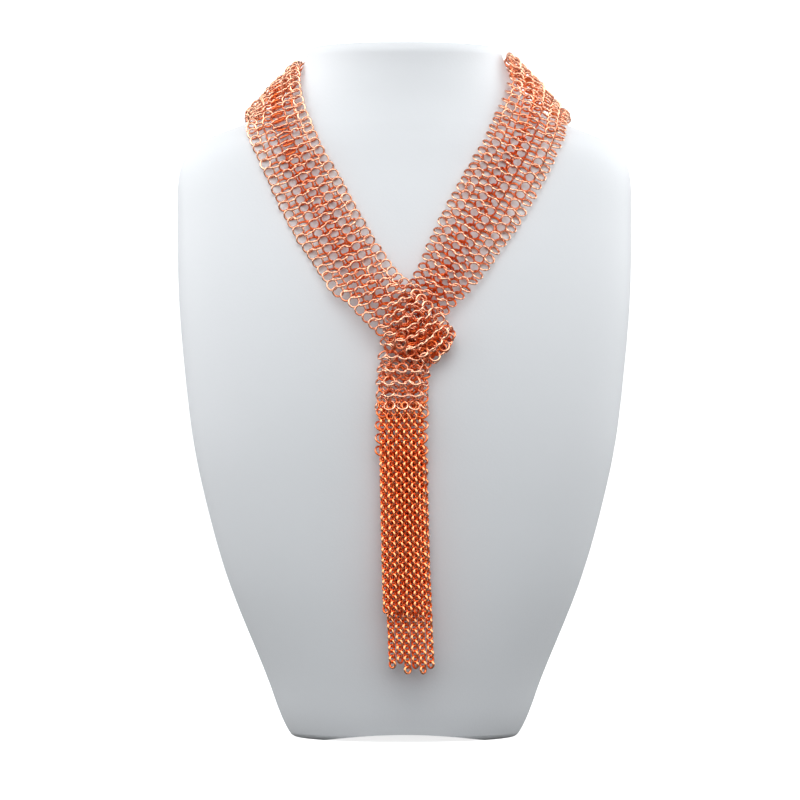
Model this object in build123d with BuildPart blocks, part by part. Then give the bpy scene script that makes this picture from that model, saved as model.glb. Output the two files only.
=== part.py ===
from build123d import *
from math import cos, pi, radians, sin, tan
import os

os.makedirs("parts", exist_ok=True)

# A chain lariat necklace, knotted at the chest of a plain display bust. The bust stands on Z = 0
# and faces -Y. Its left side in the picture is -X. All sizes are in millimetres.

# Neck bust
bust_height = 310.0
bust_width = 204.0
chest_depth = 62.5  # upright axis to the foremost point of the chest
back_depth = 47.5  # upright axis to the rearmost point of the shoulders
foot_width = 14.5  # each of the two pads that the shallow arch leaves under the base
arch_rise = 3.4
neck_rim = 5.0  # rounded edge of the flat top of the neck
base_rim = 4.0

# Ring mesh, woven four in one
mesh_thickness = 2.4
mesh_gap = 0.7  # from the mesh to the skin under it
seat_gap = 0.3  # from one piece to the next
tail_curl = 3.0  # how far the long edges of a tail bend back towards the chest

# Knot, where the left of the band folds round the right of it
knot_angle = 354.6
knot_height = 0.596  # share of bust_height
knot_width = 39.6
knot_drop = 34.2
wrap_slack = 1.1  # looseness of the wrap round the tail's root
wrap_round = 2.0  # rounding of its fold

# Fringe of round-link chains
link_size = 4.15
link_wire = 0.95
chain_width = 3.4  # a chain's links stand at 45 degrees, so it is slimmer than a link
chain_gap = 0.38
FRONT_CHAIN_LINKS = (39, 40, 39, 40, 39, 40)
REAR_CHAIN_LINKS = (41, 40, 42, 41, 42, 41)
front_drift = 1.8  # how far the end of a chain hangs to the right of its top
rear_drift = 3.2

# Sections of the bust from the base up: heights as shares of bust_height, half widths as shares
# of half the bust_width, fronts of chest_depth and backs of back_depth.
BUST_SECTIONS = [
    # height, half width, front, back
    (0.000, 0.495, 0.720, 0.842),
    (0.071, 0.588, 0.808, 0.842),
    (0.148, 0.681, 0.880, 0.838),
    (0.232, 0.779, 0.941, 0.829),
    (0.323, 0.858, 0.982, 0.821),
    (0.419, 0.922, 1.000, 0.821),
    (0.516, 0.960, 0.986, 0.832),
    (0.613, 0.987, 0.931, 0.855),
    (0.700, 0.998, 0.845, 0.888),
    (0.761, 1.000, 0.762, 0.922),
    (0.800, 0.999, 0.701, 0.947),
    (0.829, 0.982, 0.654, 0.964),
    (0.852, 0.935, 0.621, 0.977),
    (0.868, 0.858, 0.595, 0.985),
    (0.879, 0.775, 0.579, 0.989),
    (0.890, 0.691, 0.562, 0.992),
    (0.905, 0.616, 0.539, 0.994),
    (0.923, 0.553, 0.515, 0.992),
    (0.942, 0.501, 0.496, 0.987),
    (0.961, 0.464, 0.480, 0.983),
    (0.981, 0.439, 0.470, 0.977),
    (1.000, 0.427, 0.464, 0.968),
]
foremost = max(BUST_SECTIONS, key=lambda section: section[2])[0] * bust_height

# Rows across the mesh where its course bends. A turn is the angle about the bust's upright axis,
# 0 at the front and growing past the left shoulder. Heights are shares of bust_height. A lift is
# the number of layers of mesh that the row lies on, and a curl is a share of tail_curl.
BAND_ROWS = [  # from the left of the knot up over the left shoulder, behind the neck, to its right
    # outer turn, outer height, inner turn, inner height, lift, curl
    (15.8, 0.604, 0.2, 0.650, 2.5, 0),
    (22.3, 0.616, 3.8, 0.667, 1.8, 0),
    (30.4, 0.636, 8.4, 0.689, 0.7, 0),
    (38.4, 0.675, 17.6, 0.729, 0.1, 0),
    (46.5, 0.714, 26.3, 0.769, 0, 0),
    (54.4, 0.762, 36.8, 0.813, 0, 0),
    (61.9, 0.810, 46.6, 0.854, 0, 0),
    (69.4, 0.855, 61.3, 0.901, 0.1, 0),
    (80.0, 0.884, 79.5, 0.943, 0.2, 0),
    (93.0, 0.890, 91.0, 0.962, 0.2, 0),
    (106.0, 0.882, 105.0, 0.965, 0.2, 0),
    (123.0, 0.868, 123.0, 0.963, 0.1, 0),
    (151.0, 0.858, 151.0, 0.960, 0.2, 0),
    (180.0, 0.855, 180.0, 0.960, 0.2, 0),
    (209.0, 0.858, 209.0, 0.960, 0.2, 0),
    (237.0, 0.868, 237.0, 0.963, 0.1, 0),
    (254.0, 0.882, 255.0, 0.967, 0.1, 0),
    (268.0, 0.890, 270.0, 0.965, 0.2, 0),
    (280.5, 0.884, 284.0, 0.945, 0.2, 0),
    (288.2, 0.858, 302.3, 0.899, 0.1, 0),
    (296.0, 0.816, 315.0, 0.858, 0, 0),
    (302.0, 0.776, 323.0, 0.822, 0, 0),
    (310.7, 0.729, 332.5, 0.784, 0, 0),
    (318.8, 0.692, 342.4, 0.740, 0.1, 0),
    (326.9, 0.658, 349.7, 0.703, 0.4, 0),
    (334.7, 0.629, 355.4, 0.666, 0.9, 0),
    (340.5, 0.611, 358.9, 0.645, 1.15, 0),
]
FRONT_TAIL_ROWS = [  # on from the band's right end, under the wrap and down
    # outer turn, outer height, inner turn, inner height, lift, curl
    (341.0, 0.609, 359.2, 0.643, 1.15, 0),
    (345.2, 0.584, 364.6, 0.618, 1.25, 0),
    (349.1, 0.561, 368.7, 0.582, 1.35, 0),
    (351.8, 0.546, 369.7, 0.554, 1.4, 0.1),
    (350.0, 0.529, 370.0, 0.532, 1.4, 0.7),
    (349.7, 0.504, 370.7, 0.504, 1.4, 1),
    (349.8, 0.478, 370.6, 0.478, 1.4, 1),
]
REAR_TAIL_ROWS = [  # down from the back of the wrap
    # outer turn, outer height, inner turn, inner height, lift, curl
    (348.8, 0.537, 370.4, 0.537, 0, 0),
    (349.7, 0.508, 371.0, 0.508, 0, 0.6),
    (349.8, 0.470, 371.0, 0.470, 0, 1),
    (349.8, 0.415, 371.0, 0.415, 0, 1),
]

# Outlines of the wrap on the knot's plane, as shares of knot_width and knot_drop
WRAP_FRONT = [(-0.14, 0.50), (0.41, -0.08), (0.15, -0.50), (-0.39, -0.13), (-0.56, 0.06)]
WRAP_BACK = [(0.41, -0.08), (0.15, -0.50), (-0.46, -0.53), (-0.40, -0.16)]

layer = mesh_thickness + seat_gap
link_pitch = link_size - 2 * link_wire
chain_pitch = chain_width + chain_gap


def bust_surface(turn, height):
    """Point on the bust's skin and its outward direction, at a turn and a height."""
    look = Vector(-sin(radians(turn)), -cos(radians(turn)), 0)
    hits = bust_skin.find_intersection_points(Axis((0, 0, height), look))
    return max(hits, key=lambda hit: hit[0].dot(look))


def hang(turn, height_share):
    """As bust_surface, but plumb below the foremost point of the chest, as a tail hangs."""
    height = height_share * bust_height
    point, out = bust_surface(turn, max(height, foremost))
    if height < foremost:
        return Vector(point.X, point.Y, height), Vector(out.X, out.Y, 0).normalized()
    return point, out


def mesh_row(outer_turn, outer_height, inner_turn, inner_height, lift, curl):
    """Sketch of the mesh's section along one row, bent to the skin under it."""
    outer = hang(outer_turn, outer_height)[0]
    inner = hang(inner_turn, inner_height)[0]
    middle, out = hang((outer_turn + inner_turn) / 2, (outer_height + inner_height) / 2)
    across = inner - outer
    plane = Plane(middle, x_dir=across, z_dir=across.cross(out))
    ends = [plane.to_local_coords(point) for point in (outer, inner)]
    low = mesh_gap + lift * layer
    with BuildSketch(plane) as row:
        with BuildLine():
            faces = []
            for level in (low, low + mesh_thickness):
                start, stop = [Vector(end.X, end.Y + level) for end in ends]
                peak = Vector(0, level + curl * tail_curl) * 2 - (start + stop) / 2
                faces.append(Bezier(start, peak, stop))
            for end in (0, 1):
                Line(faces[0] @ end, faces[1] @ end)
        make_face()
    return row.sketch


def chain_route(top, drift, links):
    """Three points that a hanging chain follows, leaning to the right as it falls."""
    length = links * link_pitch + 2 * link_wire
    return [top, top + Vector(0.35 * drift, 0, -length / 2), top + Vector(drift, 0, -length)]


def corner_radius(before, corner, after):
    """Largest arc that the two runs beside a corner allow."""
    runs = (corner - before, after - corner)
    half_turn = radians(runs[0].get_angle(runs[1])) / 2
    return 0.45 * min(run.length for run in runs) / tan(half_turn)


with BuildPart() as neck_bust:
    for height, half_width, front, back in BUST_SECTIONS:
        depth = front * chest_depth + back * back_depth
        middle = (back * back_depth - front * chest_depth) / 2
        with BuildSketch(Plane((0, middle, height * bust_height))):
            Ellipse(half_width * bust_width / 2, depth / 2)
    loft()
    fillet(neck_bust.edges().sort_by(Axis.Z)[-1], neck_rim)
    fillet(neck_bust.edges().sort_by(Axis.Z)[0], base_rim)
    half_arch = BUST_SECTIONS[0][1] * bust_width / 2 - foot_width
    arch_radius = (half_arch**2 + arch_rise**2) / (2 * arch_rise)
    with BuildSketch(Plane.XZ):
        with Locations((0, arch_rise - arch_radius)):
            Circle(arch_radius)
    extrude(amount=bust_width, both=True, mode=Mode.SUBTRACT)
neck_bust.part.label = "neck_bust"
bust_skin = neck_bust.faces().sort_by(SortBy.AREA)[-1]

with BuildPart() as mesh_band:
    loft([mesh_row(*row) for row in BAND_ROWS])
mesh_band.part.label = "mesh_band"

with BuildPart() as front_mesh_tail:
    loft([mesh_row(*row) for row in FRONT_TAIL_ROWS])
front_mesh_tail.part.label = "front_mesh_tail"

with BuildPart() as rear_mesh_tail:
    loft([mesh_row(*row) for row in REAR_TAIL_ROWS])
rear_mesh_tail.part.label = "rear_mesh_tail"

# The wrap is a hairpin of mesh: a front layer, a fold down its right edge and a back layer, with
# the root of the front tail between them.
knot_point, knot_out = bust_surface(knot_angle, knot_height * bust_height)
knot_plane = Plane(knot_point, x_dir=(1, 0, 0), z_dir=knot_out)
wrap_front = [(across * knot_width, up * knot_drop) for across, up in WRAP_FRONT]
wrap_back = [(across * knot_width, up * knot_drop) for across, up in WRAP_BACK]
front_layer = mesh_gap + 2 * layer + wrap_slack
with BuildPart() as mesh_wrap:
    with BuildSketch(knot_plane.offset(mesh_gap)):
        with BuildLine():
            Polyline(*wrap_back, close=True)
        make_face()
    extrude(amount=mesh_thickness)
    with BuildSketch(knot_plane.offset(front_layer)):
        with BuildLine():
            Polyline(*wrap_front, close=True)
        make_face()
    extrude(amount=mesh_thickness)
    fold_top, fold_foot = [Vector(*corner) for corner in wrap_back[:2]]
    inward = (fold_foot - fold_top).normalized().rotate(Axis.Z, -90) * mesh_thickness
    with BuildSketch(knot_plane.offset(mesh_gap)):
        with BuildLine():
            Polyline(fold_top, fold_foot, fold_foot + inward, fold_top + inward, close=True)
        make_face()
    extrude(amount=front_layer + mesh_thickness - mesh_gap)
    outward = Axis(knot_point, knot_point - knot_plane.from_local_coords(inward))
    fillet(mesh_wrap.edges().group_by(outward)[-1].sort_by(SortBy.LENGTH)[-2:], wrap_round)
mesh_wrap.part.label = "mesh_wrap"

pieces = [neck_bust, mesh_band, mesh_wrap, front_mesh_tail, rear_mesh_tail]

# Fringe: six chains hang side by side from the last row of rings on each tail
for name, rows, drift, counts in (
    ("front", FRONT_TAIL_ROWS, front_drift, FRONT_CHAIN_LINKS),
    ("rear", REAR_TAIL_ROWS, rear_drift, REAR_CHAIN_LINKS),
):
    outer_turn, foot, inner_turn, _, lift, _ = rows[-1]
    outer, inner = [hang(turn, foot)[0] for turn in (outer_turn, inner_turn)]
    middle = (outer + inner) / 2
    for place, links in enumerate(counts):
        across = (place - (len(counts) - 1) / 2) * chain_pitch
        bend = 1 - (across / (outer - inner).length * 2) ** 2
        off = mesh_gap + lift * layer + mesh_thickness / 2 + bend * tail_curl
        top = Vector(middle.X + across, -chest_depth - off, middle.Z - seat_gap)
        route = chain_route(top, drift, links)
        radius = corner_radius(*route)
        with BuildPart() as chain:
            with BuildLine():
                path = FilletPolyline(*route, radius=[radius])
            with BuildSketch(Plane(route[0], z_dir=path % 0)):
                Circle(chain_width / 2)
            sweep(path=path)
        chain.part.label = f"{name}_chain_{place + 1}"
        pieces.append(chain)
        whole = pi * chain_width**2 / 4 * path.length
        print(f"{chain.part.label} radius {radius:.0f} volume {chain.part.volume / whole:.4f} of tube")

# The origin goes to the middle of the whole object's underside
bounds = Compound([piece.part for piece in pieces]).bounding_box().center()
for piece in pieces:
    part = Pos(-bounds.X, -bounds.Y, 0) * piece.part
    part.label = piece.part.label
    export_step(part, f"parts/{part.label}.step")
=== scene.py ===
# %% [markdown]
# A lariat necklace of woven copper rings, knotted at the chest of a white neck bust.
# The solids of the bust and the necklace come packed, as a fixed frame. Everything made here is laid
# on that frame, in metres, so the first step is to load it and to note its box.

# %% Load the frame
from math import pi, radians

import bpy
import numpy as np
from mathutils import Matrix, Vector
from mathutils.bvhtree import BVHTree


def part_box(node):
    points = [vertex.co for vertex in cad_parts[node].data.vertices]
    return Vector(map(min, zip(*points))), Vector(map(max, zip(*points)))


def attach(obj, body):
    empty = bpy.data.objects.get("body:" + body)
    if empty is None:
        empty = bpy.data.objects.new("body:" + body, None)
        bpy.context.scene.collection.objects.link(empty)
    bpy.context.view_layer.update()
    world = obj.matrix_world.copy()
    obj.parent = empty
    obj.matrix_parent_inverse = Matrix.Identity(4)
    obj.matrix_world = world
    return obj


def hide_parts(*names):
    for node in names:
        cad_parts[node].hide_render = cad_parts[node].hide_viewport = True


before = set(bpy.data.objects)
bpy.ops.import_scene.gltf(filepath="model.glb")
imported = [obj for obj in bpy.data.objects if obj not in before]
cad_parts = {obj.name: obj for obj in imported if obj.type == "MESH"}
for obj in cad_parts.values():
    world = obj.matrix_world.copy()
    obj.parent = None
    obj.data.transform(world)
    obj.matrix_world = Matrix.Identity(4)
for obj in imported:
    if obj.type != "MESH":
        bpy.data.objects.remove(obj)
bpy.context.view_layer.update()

MM = 0.001
random = np.random.default_rng(11)
low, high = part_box("neck_bust")
bust_height = high.z
chest_depth = 62.5 * MM
axis_y = low.y + chest_depth
print("bust", [round(v / MM, 1) for v in high - low], "mm, upright axis at y", round(axis_y / MM, 1))

# %% [markdown]
# The picture was taken with a long lens, level with the lower chest, so near and far parts keep
# nearly the same size. A 200 mm lens two metres away does the same. A new camera looks straight
# down, and a quarter turn about X makes it look along +Y, at the chest.

# %% Camera
camera_distance = 2.0
camera_height = 150.75 * MM
camera_across = -2.0 * MM
camera = bpy.data.objects.new("camera", bpy.data.cameras.new("camera"))
camera.data.lens = 200
camera.data.sensor_width = 36
camera.data.clip_end = 20
camera.location = (camera_across, axis_y - camera_distance, camera_height)
camera.rotation_euler = (radians(90), 0, 0)
bpy.context.scene.collection.objects.link(camera)
bpy.context.scene.camera = camera
print("camera", [round(v, 3) for v in camera.location])

# %% [markdown]
# Shader maths reads best as plain arithmetic. This small class wraps a socket: adding or multiplying
# two of them adds the Math node that does it, and node() adds any other node.


# %% Sockets that take arithmetic
class Socket:
    """An output of a node in a material, which takes Python's arithmetic."""

    def __init__(self, tree, link):
        self.tree = tree
        self.link = link

    def node(self, kind, settings=None, output=0, **values):
        """Any node: its settings are set first, then the values or links of its inputs."""
        made = self.tree.nodes.new("ShaderNode" + kind)
        for name, value in (settings or {}).items():
            if name == "stops":
                for stop in made.color_ramp.elements[2:]:
                    made.color_ramp.elements.remove(stop)
                for index, (place, colour) in enumerate(value):
                    elements = made.color_ramp.elements
                    stop = elements[index] if index < 2 else elements.new(place)
                    stop.position = place
                    stop.color = (*colour, 1)
            else:
                setattr(made, name, value)
        for name, value in values.items():
            key = int(name[1:]) if name[1:].isdigit() else name.replace("_", " ")
            if isinstance(value, Socket):
                self.tree.links.new(value.link, made.inputs[key])
            else:
                made.inputs[key].default_value = value
        return Socket(self.tree, made.outputs[output])

    def math(self, operation, first, second):
        return self.node("Math", {"operation": operation}, _0=first, _1=second)

    def __add__(self, other):
        return self.math("ADD", self, other)

    def __mul__(self, other):
        return self.math("MULTIPLY", self, other)

    __radd__ = __add__
    __rmul__ = __mul__


def new_finish(name):
    """A new material, the Object coordinates that its patterns start from, and a function that sets
    or links its shader's sockets."""
    material = bpy.data.materials.new(name)
    material.use_nodes = True
    tree = material.node_tree
    tree.nodes.clear()
    shader = tree.nodes.new("ShaderNodeBsdfPrincipled")
    output = tree.nodes.new("ShaderNodeOutputMaterial")
    tree.links.new(shader.outputs["BSDF"], output.inputs["Surface"])
    place = Socket(tree, tree.nodes.new("ShaderNodeTexCoord").outputs["Object"])

    def wire(**values):
        for key, value in values.items():
            socket = shader.inputs[key.replace("_", " ")]
            if isinstance(value, Socket):
                tree.links.new(value.link, socket)
            else:
                socket.default_value = value

    return material, place, wire


# %% [markdown]
# The bust is covered in smooth white leatherette: nearly plain, with a fine pebbled grain that only
# shows where light grazes it, and a soft satin sheen.

# %% Leatherette
leatherette, place, wire = new_finish("leatherette")
cloud = place.node("TexNoise", Vector=place, Scale=9.0, Detail=3.0)
pebble = place.node("TexVoronoi", {"feature": "SMOOTH_F1"}, Vector=place, Scale=1100.0)
dust = place.node("TexNoise", Vector=place, Scale=420.0, Detail=2.0)
wire(
    Base_Color=place.node(
        "ValToRGB", {"stops": [(0.3, (0.815, 0.83, 0.842)), (0.7, (0.83, 0.842, 0.856))]}, Fac=cloud
    ),
    Roughness=0.5 + cloud * 0.08,
    Specular_IOR_Level=0.25,
    Normal=place.node("Bump", Strength=0.12, Distance=0.0002, Height=pebble + dust * 0.5),
)
print("leatherette", len(leatherette.node_tree.nodes), "nodes")

# %% [markdown]
# The rings and links are bright copper wire. Their colour carries painted light and shade: a painted
# pale where the wire stands proud, and a painted deep orange down in the weave, where light meets
# copper several times. Each ring has its own tone too, as hand-cut wire does. Both the painted shade
# and the tone are stored in the mesh as one attribute.


# %% Copper wire
def copper(name, pale_lit, deep_shaded, roughness):
    """Bright copper, whose colour runs from pale to deep with the painted light and shade in the
    mesh, and with each ring's own tone.
    """
    material, place, wire = new_finish(name)
    tone_and_shade = place.node("Attribute", {"attribute_name": "tone_and_shade"}, output="Fac")
    haze = place.node("TexNoise", Vector=place, Scale=160.0, Detail=2.0)
    draw = place.node("TexNoise", Vector=place, Scale=2600.0, Detail=1.0)
    wire(
        # Base colour: painted light and shade, pale where lit and deep in shade, with each ring's own
        # tone mixed in.
        Base_Color=place.node(
            "ValToRGB", {"stops": [(0.2, pale_lit), (0.85, deep_shaded)]}, Fac=tone_and_shade * 0.85 + haze * 0.15
        ),
        Metallic=1.0,
        Roughness=roughness + tone_and_shade * 0.2,
        Normal=place.node("Bump", Strength=0.1, Distance=0.00003, Height=draw),
    )
    return material


ring_copper = copper("ring_copper", (0.82, 0.43, 0.285), (0.74, 0.155, 0.04), 0.17)
link_copper = copper("link_copper", (0.85, 0.31, 0.13), (0.8, 0.09, 0.006), 0.17)
print("copper", len(ring_copper.node_tree.nodes), "nodes")

# %% [markdown]
# A row of the weave is given by where its two ends lie on the bust: a turn about the upright axis,
# 0 at the front and growing past the shoulder on the picture's left, and a height as a share of the
# bust's. A ray from the axis finds the skin there. Below the foremost point of the chest the mesh
# hangs plumb.

# %% Points on the skin
skin = BVHTree.FromObject(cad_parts["neck_bust"], bpy.context.evaluated_depsgraph_get())
foremost = 0.419  # the chest's foremost point, as a share of the height


def skin_point(turn, share):
    """The skin's point and outward direction at a turn and a share of the height."""
    look = Vector((-np.sin(radians(turn)), -np.cos(radians(turn)), 0))
    start = Vector((0, axis_y, max(share, foremost) * bust_height))
    point, out = skin.ray_cast(start, look)[:2]
    if share < foremost:
        point.z = share * bust_height
        out = Vector((out.x, out.y, 0)).normalized()
    return point, out if out.dot(look) > 0 else -out


mesh_thickness = 2.4 * MM
mesh_gap = 0.7 * MM  # between the skin and the mesh
layer_gap = 0.3 * MM  # between one layer of mesh and the next
layer = mesh_thickness + layer_gap
roll_depth = 5.2 * MM  # how far a rolled tail's front stands off, so its edges clear the skin
print("chest", [round(v / MM, 1) for v in skin_point(0, foremost)[0]])

# %% [markdown]
# The necklace is one long strip. It starts at the foot of the rear tail, goes up and turns behind
# the knot, folds round to the front, runs up the left side, behind the neck and down the right side,
# passes under its own fold and ends at the foot of the front tail. These rows steer it, and a smooth
# curve joins them. The last two columns say how the mesh is gathered there: roll is how far its long
# edges bend back, as in a tail that hangs, and crease is how far it is pinched along its middle.

# %% The strip's rows
REAR_TAIL = [  # from its foot up
    # outer turn, outer height, inner turn, inner height, lift, roll, crease
    (351.4, 0.415, 371.0, 0.415, 0, 0.6, 0),
    (351.0, 0.470, 370.6, 0.470, 0, 0.6, 0),
    (350.6, 0.508, 370.2, 0.508, 0, 0.4, 0.2),
    (349.2, 0.534, 370.4, 0.534, 0, 0.1, 0.3),
]
KNOT = [  # on the knot's plane, up from the back layer, round the fold and across the front
    # outer across, outer up, inner across, inner up, level, sag in millimetres, roll, crease
    (4.5, -18.0, -14.0, -9.0, 1.9, 0, 0, 0.3),
    (4.0, -17.0, -8.0, 0.0, 1.9, 0, 0, 0.3),
    (3.5, -16.0, 2.5, 2.5, 1.9, 0, 0, 0.3),
    (3.3, -16.4, 12.6, -0.8, 2.1, 0, 0, 0.3),
    (5.4, -19.0, 16.0, -4.6, 6.0, 0.6, 0, 0.4),
    (-2.4, -17.2, 13.8, -2.0, 9.8, 2.2, 0, 0.5),
    (-15.0, -8.6, 8.6, 4.4, 10.6, 3.0, 0, 0.6),
    (-23.0, -1.6, 2.4, 11.4, 8.6, 2.0, 0, 0.6),
]
BAND = [  # up the left side, behind the neck and down the right side
    # outer turn, outer height, inner turn, inner height, lift, roll, crease
    (25.0, 0.623, -0.4, 0.652, 2.1, 0, 0.7),
    (30.1, 0.635, 3.8, 0.667, 1.3, 0, 0.8),
    (34.3, 0.655, 8.4, 0.689, 0.5, 0, 0.8),
    (41.5, 0.690, 17.6, 0.729, 0.1, 0, 0.8),
    (48.7, 0.727, 26.3, 0.769, 0, 0, 0.8),
    (56.3, 0.774, 36.8, 0.813, 0, 0, 0.8),
    (63.3, 0.818, 46.6, 0.854, 0, 0, 0.9),
    (73.2, 0.865, 61.3, 0.901, 0.1, 0, 1),
    (82.0, 0.885, 79.5, 0.946, 0.3, 0, 0.8),
    (93.0, 0.889, 91.0, 0.968, 0.4, 0, 0.3),
    (106.0, 0.882, 105.0, 0.976, 0.4, 0, 0.2),
    (123.0, 0.868, 123.0, 0.976, 0.1, 0, 0.1),
    (151.0, 0.858, 151.0, 0.965, 0.2, 0, 0),
    (180.0, 0.855, 180.0, 0.960, 0.2, 0, 0),
    (209.0, 0.858, 209.0, 0.960, 0.2, 0, 0),
    (237.0, 0.868, 237.0, 0.974, 0.1, 0, 0.1),
    (254.0, 0.879, 255.0, 0.984, 0.4, 0, 0.2),
    (268.0, 0.885, 270.0, 0.982, 0.5, 0, 0.3),
    (281.3, 0.875, 284.0, 0.940, 0.4, 0, 0.7),
    (288.0, 0.857, 302.3, 0.899, 0.1, 0, 0.8),
    (296.0, 0.816, 315.0, 0.858, 0, 0, 0.7),
    (302.6, 0.777, 323.8, 0.824, 0, 0, 0.6),
    (311.1, 0.730, 333.1, 0.786, 0, 0, 0.6),
    (319.3, 0.693, 342.8, 0.742, 0.1, 0, 0.6),
    (326.9, 0.658, 349.7, 0.703, 0.4, 0, 0.6),
    (334.7, 0.629, 355.4, 0.666, 0.9, 0, 0.5),
]
FRONT_TAIL = [  # under the fold and down to its foot
    # outer turn, outer height, inner turn, inner height, lift, roll, crease
    (340.8, 0.610, 359.2, 0.644, 1.1, 0.1, 0.4),
    (345.2, 0.584, 364.6, 0.618, 1.1, 0.3, 0.3),
    (349.1, 0.561, 368.7, 0.582, 1.1, 0.6, 0.1),
    (351.2, 0.546, 370.0, 0.552, 1.0, 0.9, 0),
    (350.9, 0.529, 370.4, 0.531, 1.0, 1, 0),
    (351.1, 0.504, 370.6, 0.504, 1.0, 1, 0),
    (351.3, 0.478, 370.6, 0.478, 1.0, 1, 0),
]


def skin_row(outer_turn, outer_share, inner_turn, inner_share, lift, roll, crease):
    """Outer end, middle and inner end of a row, that many layers of mesh above the skin. Taut mesh
    bridges a hollow, so the middle lies on the line between the ends or further out."""
    level = mesh_gap + mesh_thickness / 2 + lift * layer + roll * roll_depth
    places = (
        (outer_turn, outer_share),
        ((outer_turn + inner_turn) / 2, (outer_share + inner_share) / 2),
        (inner_turn, inner_share),
    )
    found = [skin_point(*place) for place in places]
    outer, middle, inner = (point + out * level for point, out in found)
    out = found[1][1]
    middle += out * max(0, out.dot((outer + inner) / 2 - middle))
    return [outer, middle, inner, (roll, crease)]


knot_turn = 354.6
knot_share = 0.596
knot_point, knot_out = skin_point(knot_turn, knot_share)
knot_across = Vector((1, 0, 0)) - knot_out * knot_out.x
knot_across.normalize()
knot_up = knot_out.cross(knot_across)


def knot_row(outer_across, outer_up, inner_across, inner_up, level, sag, roll, crease):
    """Outer end, middle and inner end of a row on the plane that touches the skin at the knot. The
    middle sags to the row's lower side."""
    ends = [
        knot_point + (knot_across * across + knot_up * up + knot_out * level) * MM
        for across, up in ((outer_across, outer_up), (inner_across, inner_up))
    ]
    below = (ends[1] - ends[0]).cross(knot_out).normalized()
    return [ends[0], (ends[0] + ends[1]) / 2 + below * sag * MM, ends[1], (roll, crease)]


strip = [skin_row(*row) for row in REAR_TAIL]
strip += [knot_row(*row) for row in KNOT]
strip += [skin_row(*row) for row in BAND + FRONT_TAIL]
print(len(strip), "rows steer the strip")

# %% [markdown]
# Between two of those rows the strip follows a cubic curve, and across a row it is a parabola
# through its three points. Everything is worked out for whole arrays at once: u is the way along the
# middle of the strip in metres, and t runs from -1 at the outer edge to 1 at the inner edge.

# %% The strip as a surface
outer_knots, middle_knots, inner_knots = (np.array([row[k][:] for row in strip]) for k in range(3))
gather_knots = np.array([row[3] for row in strip])
steps = np.linalg.norm(np.diff(middle_knots, axis=0), axis=1)
knots = np.concatenate([[0], np.cumsum(steps)])


def flow(values, u):
    """Values at u on the cubic curve through the knots: each piece blends the values and the slopes
    of its two knots with four cubic weights."""
    slopes = np.gradient(values, knots, axis=0)
    piece = np.clip(np.searchsorted(knots, u, side="right") - 1, 0, len(knots) - 2)
    span = (knots[piece + 1] - knots[piece])[..., None]
    s = (u - knots[piece])[..., None] / span
    start = (1 + 2 * s) * (1 - s) ** 2 * values[piece] + s * (1 - s) ** 2 * span * slopes[piece]
    end = s**2 * (3 - 2 * s) * values[piece + 1] + s**2 * (s - 1) * span * slopes[piece + 1]
    return start + end


def plain_strip(u, t):
    """The strip before it is gathered: (1-s)^2 outer + 2s(1-s) peak + s^2 inner, with s = (t+1)/2
    and the peak twice the middle less the mean of the ends."""
    s = ((t + 1) / 2)[..., None]
    outer, middle, inner = (flow(values, u) for values in (outer_knots, middle_knots, inner_knots))
    peak = 2 * middle - (outer + inner) / 2
    return (1 - s) ** 2 * outer + 2 * s * (1 - s) * peak + s**2 * inner


def unit(vectors):
    return vectors / np.linalg.norm(vectors, axis=-1, keepdims=True)


step = 0.1 * MM
strip_half = 15 * MM


def slopes_of(surface, u, t):
    """Across, along and outward directions of a surface, from a small step either way."""
    across = unit(surface(u, t + step / strip_half) - surface(u, t - step / strip_half))
    along = surface(u + step, t) - surface(u - step, t)
    outward = unit(np.cross(across, along))
    return across, np.cross(outward, across), outward


print("strip", round(knots[-1] / MM), "mm long")

# %% [markdown]
# A tail hangs flat in its middle, and its outer columns of rings bend back on both sides. Its
# cross-section is a straight line, then an arc, then a straight line again, all measured along the
# mesh, so the rings keep their true pitch. A crease is a narrow ridge along the middle, into which
# the columns beside it are drawn.

# %% The strip as it is gathered
ring_radius = 2.3 * MM
ring_wire = 0.46 * MM
mesh_half = 11.6 * MM
flat_half = 5.5 * MM
roll_radius = 3.0 * MM
roll_limit = radians(45)
roll_half = 10.3 * MM
edge_inset = 1.5 * MM  # how far inside the strip's edge a rolled tail ends
crease_pull = 0.9 * MM
crease_pull_width = 0.065
crease_height = 1.6 * MM
crease_height_width = 0.26


def rolled(t):
    """Across and back at t: a + R sin q + rest cos q, and R (1 - cos q) + rest sin q, where q is the
    angle turned so far and rest is what is left of the mesh once it has turned all the way."""
    s = np.abs(t) * mesh_half
    angle = np.clip((s - flat_half) / roll_radius, 0, roll_limit)
    rest = np.maximum(s - flat_half - roll_radius * roll_limit, 0)
    across = np.minimum(s, flat_half) + roll_radius * np.sin(angle) + rest * np.cos(roll_limit)
    back = roll_radius * (1 - np.cos(angle)) + rest * np.sin(roll_limit)
    return np.sign(t) * across / roll_half, back


def gathered_strip(u, t):
    """The plain strip with each point moved across its row and out of it by the roll and crease."""
    roll, crease = np.moveaxis(flow(gather_knots, u), -1, 0)
    half = np.linalg.norm(flow(outer_knots, u) - flow(inner_knots, u), axis=-1) / 2
    rolled_across, back = rolled(t)
    flat_across = t * (half - ring_radius - ring_wire)
    across = (1 - roll) * flat_across + roll * rolled_across * (half - edge_inset)
    across = across - crease * crease_pull * t * (1 - np.abs(t)) / (t**2 + crease_pull_width)
    rise = crease * crease_height * np.exp(-((t / crease_height_width) ** 2)) - roll * back
    outward = slopes_of(plain_strip, u, across / half)[2]
    return plain_strip(u, across / half) + outward * rise[..., None]


edge_across, edge_back = rolled(np.array(1.0))
edge_place = [round(float(v) / MM, 1) for v in (edge_across * roll_half, edge_back)]
print("a rolled tail's edge lies", edge_place[0], "mm across and", edge_place[1], "mm back")

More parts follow.
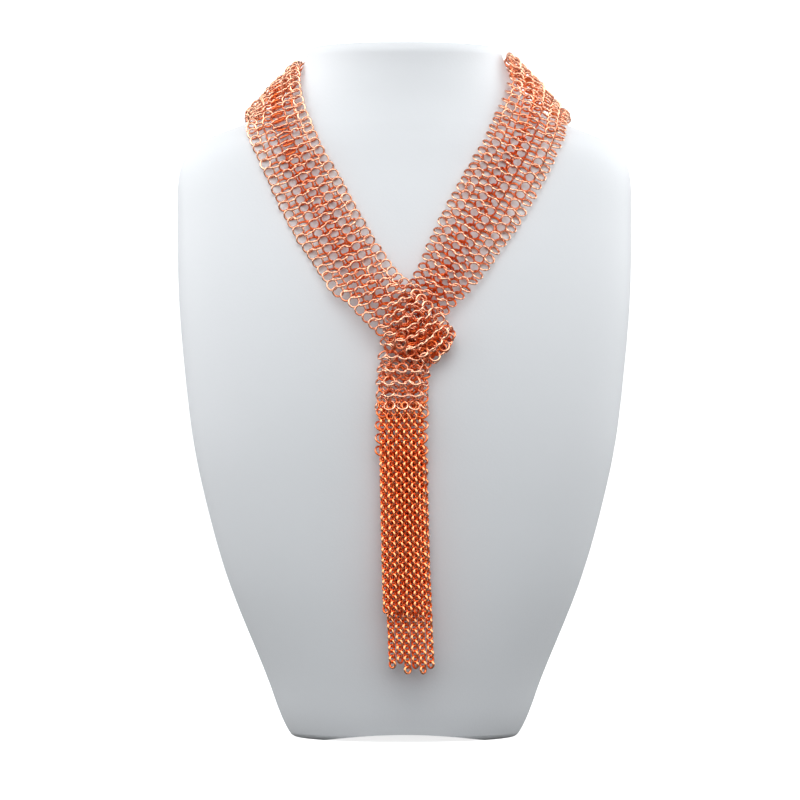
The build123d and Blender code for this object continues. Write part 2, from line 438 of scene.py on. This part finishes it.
# %% [markdown]
# The weave is European four in one: rows of five rings and of four take turns, each ring goes through
# two of the row before and two of the row after, and rows of five lean one way and rows of four the
# other. So the wires cross in front at one joint of the rows and behind at the next.
# One ring is a wire circle with a few flat sides. All copies are placed by one product of arrays.


# %% Rings
def wire_ring(radius, wire_radius, around, sides):
    """A ring in the XY plane: the point at angles a round the ring and b round the wire is
    ((R + r cos b) cos a, (R + r cos b) sin a, r sin b)."""
    a, b = np.meshgrid(np.arange(around) / around, np.arange(sides) / sides, indexing="ij")
    a, b = 2 * pi * a, 2 * pi * b
    out = radius + wire_radius * np.cos(b)
    points = np.stack([out * np.cos(a), out * np.sin(a), wire_radius * np.sin(b)], axis=-1)
    index = np.arange(around * sides).reshape(around, sides)
    ahead, beside = np.roll(index, -1, axis=0), np.roll(index, -1, axis=1)
    both = np.roll(ahead, -1, axis=1)
    faces = np.stack([index, ahead, both, beside], axis=-1)
    return points.reshape(-1, 3), faces.reshape(-1, 4)


def turned(frames, axis, angle):
    """Frames (across, along, outward) turned about one of their own axes."""
    first, second = [(1, 2), (2, 0), (0, 1)][axis]
    cos, sin = np.cos(angle)[..., None], np.sin(angle)[..., None]
    result = frames.copy()
    result[:, first] = frames[:, first] * cos + frames[:, second] * sin
    result[:, second] = frames[:, second] * cos - frames[:, first] * sin
    return result


def copies(name, template, centres, frames, facing, packed_shade, material, node, slot):
    """One object of all the copies: point = centre + x across + y along + z outward. A point's colour
    has
    painted shade: it is deeper the lower the point lies along the facing direction, and the more the
    copies are packed; each copy adds its own random tone."""
    points, faces = template
    offsets = np.einsum("pk,nkd->npd", points, frames)
    placed = centres[:, None] + offsets
    # Painted shade: the lower a point lies along the facing direction, the deeper its colour.
    depth_shade = 0.5 - np.einsum("npd,nd->np", offsets, facing) / painted_shade_depth
    own = tone_spread * (random.random((len(centres), 1)) - 0.5)
    tones_and_shade = np.clip(depth_shade + packed_shade[:, None] + own, 0, 1)
    shifted = faces[None] + (np.arange(len(centres)) * len(points))[:, None, None]
    mesh = bpy.data.meshes.new(name)
    mesh.vertices.add(placed.shape[0] * placed.shape[1])
    mesh.vertices.foreach_set("co", placed.ravel())
    mesh.loops.add(shifted.size)
    mesh.loops.foreach_set("vertex_index", shifted.ravel())
    mesh.polygons.add(shifted.shape[0] * shifted.shape[1])
    mesh.polygons.foreach_set("loop_start", np.arange(0, shifted.size, 4))
    mesh.update(calc_edges=True)
    mesh.shade_smooth()
    tone_and_shade = mesh.attributes.new("tone_and_shade", "FLOAT", "POINT")
    tone_and_shade.data.foreach_set("value", tones_and_shade.ravel())
    mesh.materials.append(material)
    piece = bpy.data.objects.new(name, mesh)
    bpy.context.scene.collection.objects.link(piece)
    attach(piece, "root")
    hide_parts(node)
    print(name, len(centres), "copies,", 2 * shifted.shape[0] * shifted.shape[1], "triangles")


# Painted shade runs from pale to deep over this height.
painted_shade_depth = 3.0 * MM  # the height over which the tone runs from pale to deep
tone_spread = 0.3
link_radius = 1.57 * MM
link_wire = 0.55 * MM
wire_sides = 6
ring = wire_ring(ring_radius, ring_wire, 14, wire_sides)
link = wire_ring(link_radius, link_wire, 12, wire_sides)
print("ring", len(ring[1]), "faces, link", len(link[1]), "faces")

# %% [markdown]
# Rows lie 2.2 mm apart on the chest, and 2.7 mm apart in the tails, which their own weight pulls
# long. The count of rows up to each place is the sum of the short steps over the spacing there.
# The numbers in knots[[...]] count the rows that steer the strip, from the rear tail's foot, and
# those below 0 count back from the front tail's foot.

# %% Rows of the weave
chest_spacing = 2.2
tail_spacing = 2.7
along = np.linspace(0, knots[-1], 4000)
rear_hang = np.interp(along, knots[[0, 3, 5]], [1, 1, 0])
front_hang = np.interp(along, knots[[-5, -4, -1]], [0, 1, 1])
hanging = np.clip(rear_hang + front_hang, 0, 1)
spacing = (chest_spacing + (tail_spacing - chest_spacing) * hanging) * MM
count = np.concatenate([[0], np.cumsum(np.diff(along) / spacing[1:])])
last_row = 2 * round(count[-1] / 2)
row_places = np.interp(np.arange(last_row + 1) * count[-1] / last_row, count, along)
print(last_row + 1, "rows")

# %% [markdown]
# The columns of a row of five share out the width from -1 to 1, and those of a row of four lie
# halfway between them. Both fill one table of five columns, and its empty places are dropped.

# %% Columns of the weave
five = np.arange(5) / 2 - 1
four = (five[1:] + five[:-1]) / 2
row = np.repeat(np.arange(last_row + 1), 5)
is_five = row % 2 == 0
u = np.repeat(row_places, 5)
t = np.where(is_five, np.tile(five, last_row + 1), np.tile(np.append(four, np.nan), last_row + 1))
kept = ~np.isnan(t)
u, t, is_five = u[kept], t[kept], is_five[kept]
centres = gathered_strip(u, t)
frames = np.stack(slopes_of(gathered_strip, u, t), axis=1)
facing = frames[:, 2].copy()
print(len(u), "rings")

# %% [markdown]
# The closer the rings are packed, the more light meets copper twice, so painted shade deepens their
# colour where the strip is creased and under the fold, and painted light makes it paler at its open
# edges and in the tails. In a crease the rings also lean more. No two lie quite alike, so each gets a
# small random lean and offset.

# %% How the rings lie
gather_width = 0.6
# Painted shade and light: deeper in the crease and under the fold, paler at open edges and in the
# tails.
gather_shade, open_edge_light, under_fold_shade, tail_light = 0.5, -0.35, 0.25, -0.12
five_lean, five_lean_in_roll, five_lean_in_crease = 29, 3, 20
four_lean, four_lean_in_roll, four_lean_in_crease = -46, 10, -8
random_lean, random_tilt, random_turn = 6, 8, 6
random_offset = 0.15 * MM
roll, crease = flow(gather_knots, u).T
gather = crease * np.exp(-((t / gather_width) ** 2))
open_edge = np.interp(u, knots[[11, 14, 36, 38]], [0, 1, 1, 0]) * t**2
under = np.interp(u, knots[[3, 7, 9, 36, 37, 39, 41]], [1, 1, 0, 0, 1, 1, 0])
hung = np.interp(u, along, hanging)
packed_shade = gather_shade * gather + open_edge_light * open_edge + under_fold_shade * under + tail_light * hung
lean = np.where(
    is_five,
    five_lean + five_lean_in_roll * roll + five_lean_in_crease * gather,
    four_lean + four_lean_in_roll * roll + four_lean_in_crease * gather,
)
frames = turned(frames, 0, radians(1) * (lean + random_lean * random.standard_normal(len(u))))
frames = turned(frames, 1, radians(random_tilt) * random.standard_normal(len(u)))
frames = turned(frames, 2, radians(random_turn) * random.standard_normal(len(u)))
centres = centres + random_offset * random.standard_normal(centres.shape)
print("lean", round(lean.min()), "to", round(lean.max()), "degrees")

# %% [markdown]
# The strip is one weave, but it is four pieces of the necklace. Each ring goes to the piece that its
# place along the strip lies in, and a piece's rings are one object that replaces its solid.

# %% Mesh pieces
fold_start = knots[len(REAR_TAIL) - 1]
fold_end = knots[len(REAR_TAIL) + len(KNOT)]
tail_start = knots[-len(FRONT_TAIL)]
piece_ends = [0, fold_start + step, fold_end - step, tail_start - step, knots[-1] + step]
for index, node in enumerate(("rear_mesh_tail", "mesh_wrap", "mesh_band", "front_mesh_tail")):
    mine = (u >= piece_ends[index]) & (u < piece_ends[index + 1])
    placing = (centres[mine], frames[mine], facing[mine], packed_shade[mine])
    copies(node + "_rings", ring, *placing, ring_copper, node, "copper_rings")

# %% [markdown]
# Six chains of round links hang from each tail's last row. Each link stands a quarter turn against
# the next. At the top one of the two faces the front, and lower down both stand at about 45
# degrees, so the chain shows a row of S curves.

# %% Fringe
chain_bow = 0.12
settling = 0.12  # the share of a chain in which its links turn to 45 degrees
link_wander = 6
link_twist, link_turn = 3, 4


def hanging_chain(name, node, top, foot, links):
    """Links along a gentle curve from top to foot, each turned a quarter against the last."""
    share = (np.arange(links) + 0.5) / links
    line = top + (foot - top) * share[:, None]
    line[:, 0] += -chain_bow * (foot - top)[0] * np.sin(pi * share)
    down = unit(np.gradient(line, axis=0))
    side = unit(np.cross(down, np.array([0.0, -1.0, 0.0])))
    out = np.cross(side, down)
    frames = np.stack([side, down, out], axis=1)
    settle = 1 - np.exp(-share / settling)
    wander = link_wander * np.sin(2 * pi * (share * random.uniform(0.6, 1.4) + random.random()))
    twist = settle * (45 + wander) - 90 * (np.arange(links) % 2)
    frames = turned(frames, 1, radians(1) * (twist + link_twist * random.standard_normal(links)))
    frames = turned(frames, 2, radians(link_turn) * random.standard_normal(links))
    # Painted shade: each link's colour deepens towards its back, away from the front.
    front = np.tile([0.0, -1.0, 0.0], (links, 1))
    copies(name, link, line, frames, front, np.zeros(links), link_copper, node, "copper_links")


# %% [markdown]
# A chain's solid is a tube that leans a little to the right, so its box gives both ends. Each chain
# stands nearer to the first one than its tube does, and the top link reaches up into the mesh.

# %% Twelve chains
link_pitch = 2.25 * MM
tube_half = 1.7 * MM
tube_ends = 1.3 * MM
top_reach = 1.5 * MM
foot_inset = 0.4 * MM
crowding = 0.45 * MM
tail_shift = {"front": 0, "rear": 1.5 * MM}
for tail in ("front", "rear"):
    for place in range(6):
        node = f"{tail}_chain_{place + 1}"
        box_low, box_high = (np.array(corner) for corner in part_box(node))
        links = round((box_high[2] - box_low[2] - tube_ends) / link_pitch)
        middle_y = (box_low[1] + box_high[1]) / 2
        shift = tail_shift[tail] - crowding * place
        top = np.array([box_low[0] + tube_half + shift, middle_y, box_high[2] + top_reach])
        foot = np.array([box_high[0] - tube_half + shift, middle_y, box_low[2] + foot_inset])
        hanging_chain(node + "_links", node, top, foot, links)

# %% [markdown]
# The bust's solid is already smooth, so it keeps its shape and only takes the leatherette.

# %% Bust
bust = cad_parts["neck_bust"]
bust.data.materials.clear()
bust.data.materials.append(leatherette)
print("bust", len(bust.data.polygons), "faces")

# %% [markdown]
# The object stands in a pale bowl: a round floor that curves up into a wall, so no horizon shows from
# any side. It glows a little, which makes it white, and only the camera sees it: real white paper
# would throw light up under the chest, which the picture doesn't have.

# %% Stage
floor_radius = 3.2
bend = 0.8
wall_height = 2.5
steps_out = 70
sectors = 72
arc_length = bend * pi / 2
travel, around = np.meshgrid(
    np.linspace(0, floor_radius + arc_length + wall_height, steps_out),
    2 * pi * np.arange(sectors) / sectors,
    indexing="ij",
)
arc = np.clip((travel - floor_radius) / bend, 0, pi / 2)
reach = np.minimum(travel, floor_radius) + bend * np.sin(arc)
rise = bend * (1 - np.cos(arc)) + np.maximum(travel - floor_radius - arc_length, 0)
grid = np.stack([reach * np.cos(around), reach * np.sin(around), rise], axis=-1).reshape(-1, 3)
index = np.arange(len(grid)).reshape(travel.shape)
beside = np.roll(index, -1, axis=1)
quads = np.stack([index[:-1], index[1:], beside[1:], beside[:-1]], axis=-1).reshape(-1, 4)
bowl_mesh = bpy.data.meshes.new("bowl")
bowl_mesh.from_pydata(grid.tolist(), [], quads.tolist())
bowl_mesh.shade_smooth()
bowl = bpy.data.objects.new("bowl", bowl_mesh)
bpy.context.scene.collection.objects.link(bowl)
paper, place, wire = new_finish("paper")
wire(Base_Color=(0.9, 0.9, 0.9, 1), Roughness=0.9, Emission_Color=(1, 1, 1, 1), Emission_Strength=0.8)
bowl_mesh.materials.append(paper)
bowl.visible_diffuse = bowl.visible_glossy = bowl.visible_shadow = False
print("bowl", len(quads), "faces")

# %% [markdown]
# Soft boxes stand at both sides and hang high in front. Four more boxes are only shine: the wire
# mirrors them, and they light nothing matt, as a strip light does that a jeweller adds for sparkle.
# The room is bright just above eye level and dark below it. Polished wire mirrors that edge too, so
# each ring gets a pale line with deep copper under it.

# %% Lights
chest_middle = Vector((0, 0, 0.16))


def soft_box(name, place, width, height, power, only_shine=False):
    """A rectangular light at a place, which faces the chest. One that is only shine is mirrored in
    the wire and doesn't light a matt skin."""
    light = bpy.data.lights.new(name, "AREA")
    light.shape = "RECTANGLE"
    light.size = width
    light.size_y = height
    light.energy = power
    lamp = bpy.data.objects.new(name, light)
    lamp.location = place
    lamp.rotation_euler = (chest_middle - Vector(place)).to_track_quat("-Z", "Y").to_euler()
    lamp.visible_camera = False
    lamp.visible_diffuse = not only_shine
    bpy.context.scene.collection.objects.link(lamp)


soft_box("left_box", (-1.3, 0.25, 0.7), 0.9, 1.2, 10)
soft_box("right_box", (1.3, 0.5, 0.75), 0.9, 1.2, 12)
soft_box("front_box", (0, -2.2, 1.2), 1.0, 0.8, 2.6)
soft_box("high_box", (0, -1.0, 1.3), 1.0, 0.8, 7)
soft_box("high_shine", (0, -1.5, 1.5), 2.6, 1.0, 20, only_shine=True)
soft_box("left_shine", (-1.3, -1.1, 0.5), 0.7, 1.2, 9, only_shine=True)
soft_box("right_shine", (1.3, -1.1, 0.5), 0.7, 1.2, 9, only_shine=True)
soft_box("floor_shine", (0, -0.6, -0.6), 3.0, 2.0, 4, only_shine=True)

# %% Room
room_glow = [
    (0.49, (0.02, 0.02, 0.02)),
    (0.65, (0.93, 0.965, 1)),
    (0.8, (0.27, 0.28, 0.29)),
    (1.0, (0.02, 0.02, 0.02)),
]
room_strength = 2.1
room = bpy.data.worlds.new("room")
room.use_nodes = True
background = room.node_tree.nodes["Background"]
look = Socket(room.node_tree, room.node_tree.nodes.new("ShaderNodeTexCoord").outputs["Generated"])
look_up = look.node("SeparateXYZ", output=2, Vector=look)
sky = look.node("ValToRGB", {"stops": room_glow}, Fac=look_up * 0.5 + 0.5)
room.node_tree.links.new(sky.link, background.inputs["Color"])
background.inputs["Strength"].default_value = room_strength
bpy.context.scene.world = room
bpy.context.scene.view_settings.view_transform = "Standard"
print("room", len(room.node_tree.nodes), "nodes")
